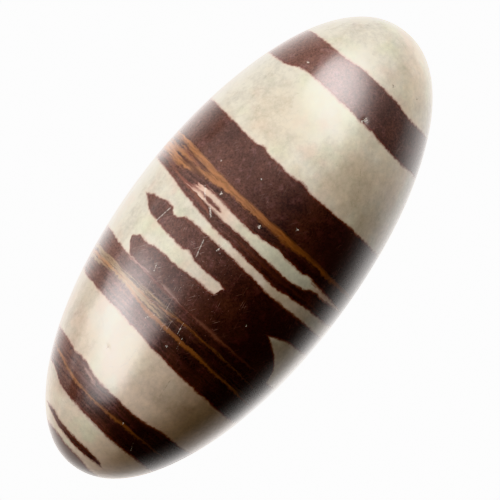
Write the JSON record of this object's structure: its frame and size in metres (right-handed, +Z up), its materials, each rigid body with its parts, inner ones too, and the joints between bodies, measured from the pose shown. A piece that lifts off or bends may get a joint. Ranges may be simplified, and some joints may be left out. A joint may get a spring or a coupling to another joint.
{
  "type": "shiva lingam stone",
  "caption": "Polished egg-shaped river stone, banded in cream and dark maroon-brown, lying on its side on a small worn flat.",
  "frame": {"origin": "middle of the small worn flat on the stone's underside, which it rests on", "axes": "+X along the stone's long axis towards its slightly fuller end, +Z up from the surface it lies on"},
  "size_m": [0.1, 0.0446, 0.0432],
  "materials": {
    "polished_banded_stone": "gloss"
  },
  "bodies": {
    "root": {"stone": "polished_banded_stone"}
  },
  "joints": []
}
